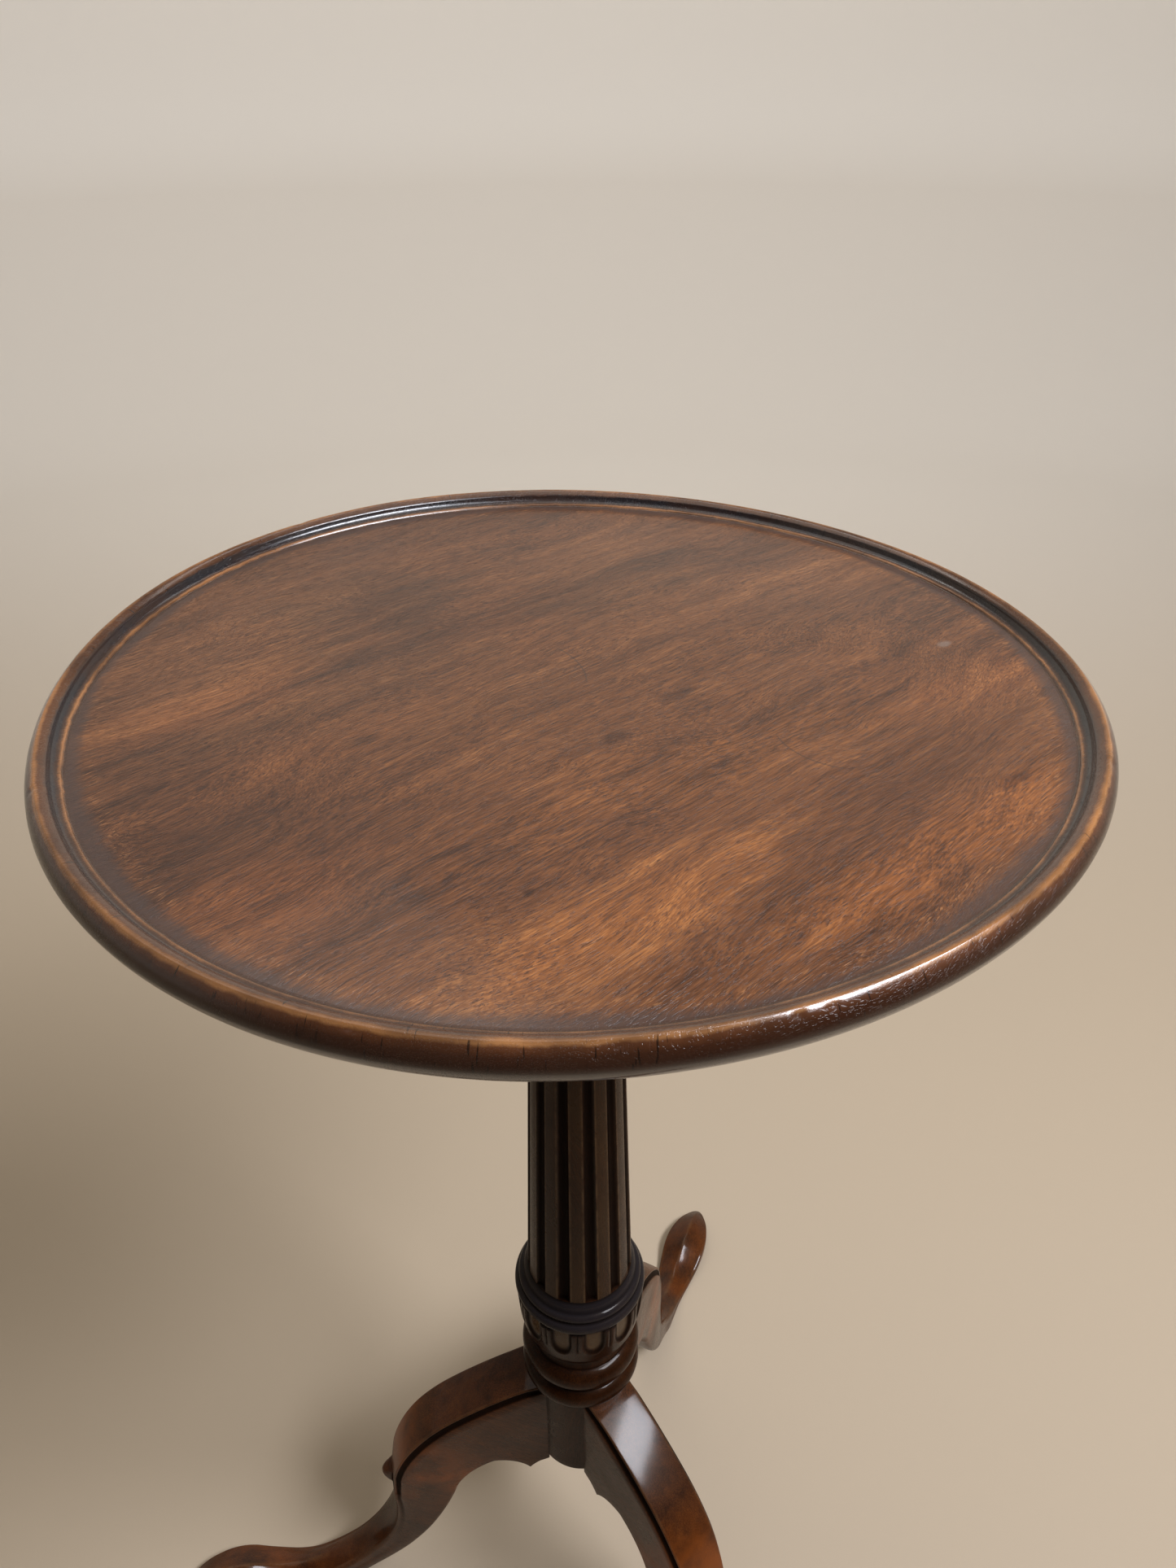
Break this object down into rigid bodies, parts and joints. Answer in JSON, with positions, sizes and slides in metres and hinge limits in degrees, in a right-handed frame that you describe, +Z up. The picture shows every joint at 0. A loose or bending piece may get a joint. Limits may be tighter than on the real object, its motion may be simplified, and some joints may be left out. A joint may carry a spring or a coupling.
{
  "type": "tilt top table",
  "caption": "Round dished table top that tips upright on a hinge block over a fluted, tapering pillar with three cabriole legs and slipper feet.",
  "frame": {"origin": "on the pillar's axis, in the plane of the floor that the three feet rest on", "axes": "+Z up; +X along the hinge axis and the grain of the top; one leg points to -Y, and the top tips up towards +Y"},
  "size_m": [0.5026, 0.4935, 0.7272],
  "materials": {
    "mahogany_top": "waxed satin, worn and figured",
    "mahogany_pillar": "dark waxed satin",
    "mahogany_leg": "polished, worn at the arrises",
    "block_wood": "dry, unpolished",
    "bearer_wood": "dry, unpolished",
    "brass": "aged",
    "iron": "dull, oxidised",
    "spring_steel": "dull"
  },
  "bodies": {
    "base": {"column": "mahogany_pillar", "tenon_wedge": "bearer_wood", "pivot_block": "block_wood", "pivot_pins": "block_wood", "leg_right": "mahogany_leg", "leg_left": "mahogany_leg", "leg_front": "mahogany_leg", "spider_plate": "iron", "spider_screws": "iron", "keeper_plate": "brass", "keeper_screws": "brass"},
    "top": {"tabletop": "mahogany_top", "bearer_right": "bearer_wood", "bearer_left": "bearer_wood", "bearer_screws": "iron", "catch_plate": "brass", "catch_case": "brass", "catch_screws": "brass", "catch_spring": "spring_steel"},
    "catch": {"catch_bolt": "brass", "catch_knob": "brass"}
  },
  "joints": [
    {"name": "top_tilt", "type": "hinge", "parent": "base", "child": "top", "pos_m": [0, 0.045, 0.6927], "axis": [-1, 0, 0], "range_deg": [0, 90]},
    {"name": "bolt_slide", "type": "slide", "parent": "top", "child": "catch", "axis": [0, 1, 0], "range_m": [0, 0.007], "stiffness_N_per_m": 200, "springref_m": 0.012, "deforming": ["catch_spring"]}
  ]
}
